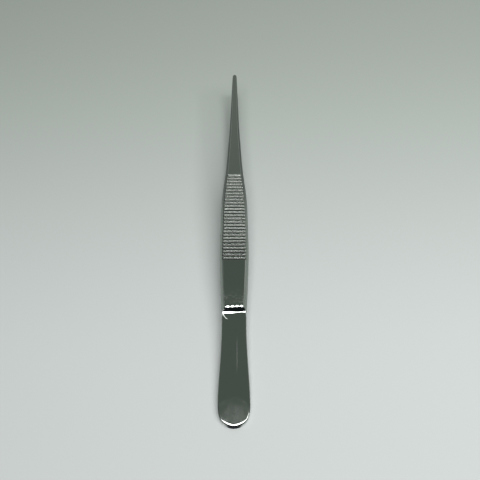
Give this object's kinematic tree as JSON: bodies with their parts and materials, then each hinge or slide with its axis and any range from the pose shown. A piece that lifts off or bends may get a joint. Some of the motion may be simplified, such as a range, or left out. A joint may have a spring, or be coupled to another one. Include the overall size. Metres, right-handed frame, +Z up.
{
  "type": "thumb forceps",
  "caption": "Thumb forceps: two sprung steel blades welded at a rounded heel, each with a stepped leaf, a cross-grooved finger grip and a slender blunt tip with fine inner teeth.",
  "frame": {"origin": "below the middle of the forceps' length and width, on the surface that they lie on", "axes": "+Y along the forceps from the heel to the tips, +X across the blades, +Z up from the table, at right angles to the face that is lain on"},
  "size_m": [0.0118, 0.16, 0.0177],
  "materials": {
    "blade_steel": "mirror polish on the heel, softening to satin on the grip and the tips"
  },
  "bodies": {
    "lower": {"lower_blade": "blade_steel"},
    "upper": {"upper_blade": "blade_steel"}
  },
  "joints": [
    {"name": "squeeze", "type": "hinge", "parent": "lower", "child": "upper", "pos_m": [0, -0.06204, 0.00222], "axis": [-1, 0, 0], "range_deg": [0, 3.74], "stiffness_Nm_per_rad": 4}
  ]
}
